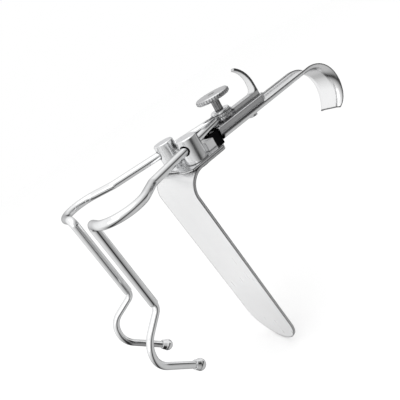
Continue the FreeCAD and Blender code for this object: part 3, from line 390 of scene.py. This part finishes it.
# Which node wears which finish; the rivets, which aren't listed, are turned steel
wears = {
    "mirrorWire": ["left_wire", "right_wire", "left_side_hook", "right_side_hook", "left_tip", "right_tip"],
    "satinBlade": ["blade"],
    "satinBlock": ["bridge_block"],
    "buffedSheet": ["handle"],
    "plateSheet": ["base_plate"],
    "hookSheet": ["finger_hook"],
    "guideSheet": ["guide_channel"],
    "turnedSteel": ["left_drum", "right_drum", "left_drum_retainer", "right_drum_retainer", "slider_bar"],
    "screwSteel": ["clamp_washer", "left_eye", "right_eye", "keeper_screw", "keeper_washer"],
    "discSteel": ["thumb_disc"],
    "stemSteel": ["thumb_stem", "eye_spacer", "pivot_stud"],
    "paintedShadeSteel": ["neck_block"],
}


def dressNode(name, material):
    for slot in nodes[name].material_slots:
        slot.material = material


for name in nodes:
    dressNode(name, finish["turnedSteel"])
for finishName, wearers in wears.items():
    for name in wearers:
        dressNode(name, finish[finishName])
print("steel finishes on", len(nodes), "nodes")

# The light tent that polished steel mirrors: a white roof, walls that darken towards their foot, a
# dark gap and grey cloth below. Heights run from -1 to 1 along the way that the roof leans.
tent = {
    "lean": 30.0,  # degrees that the roof leans
    "leanTowards": 150.0,  # and the way it leans, in degrees round from +X
    "roofFrom": 0.25,
    "wallTop": 0.85,  # tones of the wall, from its top down to its foot
    "wallFoot": 0.30,
    "gapTop": -0.38,
    "gapFoot": -0.50,
    "gapSoft": 0.08,
    "gapTone": 0.02,
    "clothShade": 0.25,  # the cloth is darker near the gap
    "clothTone": 0.55,
    "clothFlat": -0.80,
    "reflectorAt": (10.0, -25.0),  # degrees round and up: a board low behind the handle
    "reflectorInner": 0.96,
    "reflectorOuter": 0.90,
    "reflectorTone": 0.65,
    "openAt": (90.0, 5.0),  # the side with no gap, open to a white room
    "openInner": 0.80,
    "openOuter": 0.30,
}
white = (1.0, 1.0, 1.0)


def tentStops():
    soft = tent["gapSoft"]
    middle = (tent["wallFoot"] + 2 * tent["wallTop"]) / 3
    return [
        (-1.0, tent["clothTone"]),
        (tent["clothFlat"], tent["clothTone"]),
        (tent["gapFoot"] - soft, tent["clothShade"]),
        (tent["gapFoot"], tent["gapTone"]),
        (tent["gapTop"], tent["gapTone"]),
        (tent["gapTop"] + soft, tent["wallFoot"]),
        (0.0, middle),
        (tent["roofFrom"], tent["wallTop"]),
        (tent["roofFrom"] + soft, 1.0),
        (1.0, 1.0),
    ]


# How nearly a mirrored ray points the given way, from -1 to 1
def facing(tree, place, row, direction):
    agree = addNode(tree, "ShaderNodeVectorMath", (-1080, row), {1: direction}, operation="DOT_PRODUCT")
    tree.links.new(place.outputs["Generated"], agree.inputs[0])
    return agree.outputs["Value"]


# A soft round patch of the tent, as a mask
def tentPatch(tree, place, row, direction, outer, inner):
    shape = addNode(tree, "ShaderNodeMapRange", (-900, row), {"From Min": outer, "From Max": inner},
                    clamp=True, interpolation_type="SMOOTHSTEP")
    tree.links.new(facing(tree, place, row, direction), shape.inputs["Value"])
    return shape.outputs["Result"]


def tentColour(tree):
    link = tree.links.new
    place = addNode(tree, "ShaderNodeTexCoord", (-1300, -300))
    scaled = addNode(tree, "ShaderNodeMapRange", (-900, -240), {"From Min": -1.0}, clamp=True)
    ramp = addNode(tree, "ShaderNodeValToRGB", (-700, -240))
    stops = ramp.color_ramp.elements
    for number, (level, tone) in enumerate(tentStops()):
        along = (level + 1) / 2
        stop = stops[number] if number < 2 else stops.new(along)  # a new ramp has two stops already
        stop.position = along
        stop.color = (tone, tone, tone, 1.0)
    reflector = addMix(tree, (-560, -420), B=(tent["reflectorTone"],) * 3)
    walls = addMix(tree, (-380, -300), B=white)
    roofWay = pointing(tent["leanTowards"], 90 - tent["lean"])
    opened = tentPatch(tree, place, -520, pointing(*tent["openAt"]), tent["openOuter"], tent["openInner"])
    lit = tentPatch(tree, place, -760, pointing(*tent["reflectorAt"]),
                    tent["reflectorOuter"], tent["reflectorInner"])
    link(facing(tree, place, -240, roofWay), scaled.inputs["Value"])
    link(scaled.outputs["Result"], ramp.inputs["Fac"])
    link(lit, reflector.inputs["Factor"])
    link(ramp.outputs["Color"], reflector.inputs["A"])
    link(opened, walls.inputs["Factor"])
    link(reflector.outputs["Result"], walls.inputs["A"])
    return walls.outputs["Result"]


studio = {
    "floorDrop": 0.0006,  # metres below the part's lowest point
    "floorSize": 3.0,
    "floorColour": (0.90, 0.90, 0.90),
    "floorGlow": 0.20,
    "worldLight": 0.88,  # what matt surfaces are lit by
}


# The largest of the named Light Path outputs
def seenAs(tree, seen, *rays):
    total = seen.outputs[rays[0]]
    for number, ray in enumerate(rays[1:]):
        larger = addNode(tree, "ShaderNodeMath", (-500 + 160 * number, 60), operation="MAXIMUM")
        tree.links.new(total, larger.inputs[0])
        tree.links.new(seen.outputs[ray], larger.inputs[1])
        total = larger.outputs[0]
    return total


# White to the camera, a little dimmer to matt surfaces, and the tent's tones to what steel mirrors
def makeWorld():
    world = bpy.data.worlds.new("studioWorld")
    bpy.context.scene.world = world
    world.use_nodes = True
    tree = world.node_tree
    tree.nodes.clear()
    link = tree.links.new
    seen = addNode(tree, "ShaderNodeLightPath", (-700, 0))
    strength = addNode(tree, "ShaderNodeMapRange", (-140, 0), {"To Min": studio["worldLight"], "To Max": 1.0})
    shown = addMix(tree, (-140, -220), A=white)
    glow = addNode(tree, "ShaderNodeBackground", (80, 0))
    end = addNode(tree, "ShaderNodeOutputWorld", (280, 0))
    anyRay = seenAs(tree, seen, "Is Camera Ray", "Is Glossy Ray", "Is Transmission Ray")
    link(anyRay, strength.inputs["Value"])
    link(strength.outputs["Result"], glow.inputs["Strength"])
    link(seen.outputs["Is Glossy Ray"], shown.inputs["Factor"])
    link(tentColour(tree), shown.inputs["B"])
    link(shown.outputs["Result"], glow.inputs["Color"])
    link(glow.outputs[0], end.inputs["Surface"])


def makePaleFloor():
    material, tree = newTree("paleFloor")
    link = tree.links.new
    matt = addNode(tree, "ShaderNodeBsdfDiffuse", (0, 100), {"Color": studio["floorColour"] + (1.0,)})
    seen = addNode(tree, "ShaderNodeLightPath", (-700, -100))
    scale = addNode(tree, "ShaderNodeMath", (-120, -100), {1: studio["floorGlow"]}, operation="MULTIPLY")
    glow = addNode(tree, "ShaderNodeEmission", (60, -100))
    both = addNode(tree, "ShaderNodeAddShader", (240, 0))
    end = addNode(tree, "ShaderNodeOutputMaterial", (440, 0))
    link(seenAs(tree, seen, "Is Camera Ray", "Is Glossy Ray"), scale.inputs[0])
    link(scale.outputs[0], glow.inputs["Strength"])
    link(matt.outputs[0], both.inputs[0])
    link(glow.outputs[0], both.inputs[1])
    link(both.outputs[0], end.inputs["Surface"])
    return material


def makeFloor():
    low = cadBox[0][2] - studio["floorDrop"]
    half = studio["floorSize"] / 2
    corners = [(-half, -half, low), (half, -half, low), (half, half, low), (-half, half, low)]
    mesh = bpy.data.meshes.new("floor")
    mesh.from_pydata(corners, [], [(0, 1, 2, 3)])
    mesh.materials.append(makePaleFloor())
    floor = bpy.data.objects.new("floor", mesh)
    bpy.context.scene.collection.objects.link(floor)
    floor.visible_glossy = False  # steel mirrors the tent's cloth there instead


lamps = [
    {"name": "softTop", "place": (-0.1, -0.15, 0.55), "aim": (0.0, 0.0, -0.02), "size": 0.6, "power": 0.5},
    {"name": "softSide", "place": (-0.5, -0.25, 0.15), "aim": (0.0, 0.0, -0.03), "size": 0.4, "power": 0.2},
]


def makeLamps():
    for lamp in lamps:
        data = bpy.data.lights.new(lamp["name"], "AREA")
        data.shape = "SQUARE"
        data.size = lamp["size"]
        data.energy = lamp["power"]
        holder = bpy.data.objects.new(lamp["name"], data)
        holder.location = lamp["place"]
        direction = Vector(lamp["aim"]) - Vector(lamp["place"])
        holder.rotation_euler = direction.to_track_quat("-Z", "Y").to_euler()
        bpy.context.scene.collection.objects.link(holder)


makeWorld()
makeFloor()
makeLamps()
bpy.context.scene.view_settings.view_transform = "Standard"
print("studio lit")
